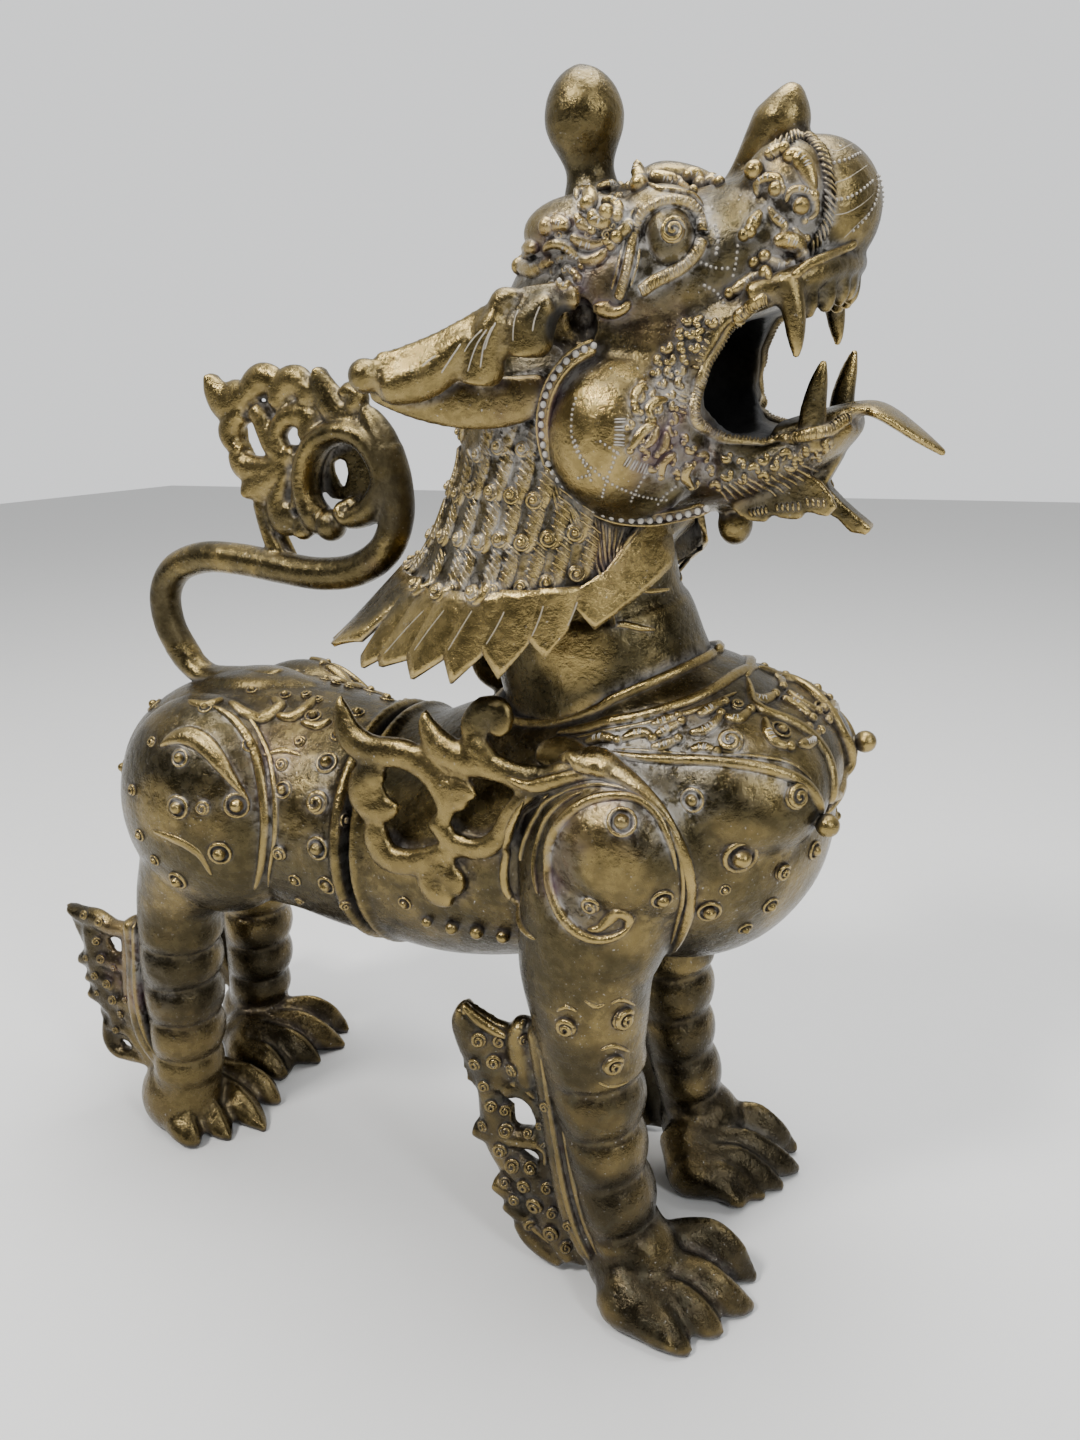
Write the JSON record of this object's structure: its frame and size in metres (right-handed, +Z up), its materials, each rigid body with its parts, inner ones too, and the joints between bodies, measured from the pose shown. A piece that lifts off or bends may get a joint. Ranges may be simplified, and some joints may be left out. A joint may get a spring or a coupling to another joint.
{
  "type": "guardian lion statue",
  "caption": "Cast brass guardian lion, standing and roaring, with a crown horn, a feathered mane, flame fins and an openwork flame tail.",
  "frame": {"origin": "middle of the underside of the statue's box, on the floor that the paws stand on", "axes": "+X the way the lion faces, +Y to its left, +Z up"},
  "size_m": [0.4726, 0.1836, 0.5159],
  "materials": {
    "aged_brass": "cast, olive-brown patina with worn gold highs, dark recesses and pale residue",
    "tail_brass": "cast, handled smooth, golden-brown patina"
  },
  "bodies": {
    "root": {"head": "aged_brass", "front_body": "aged_brass", "rear_body": "aged_brass", "tail": "tail_brass"}
  },
  "joints": []
}
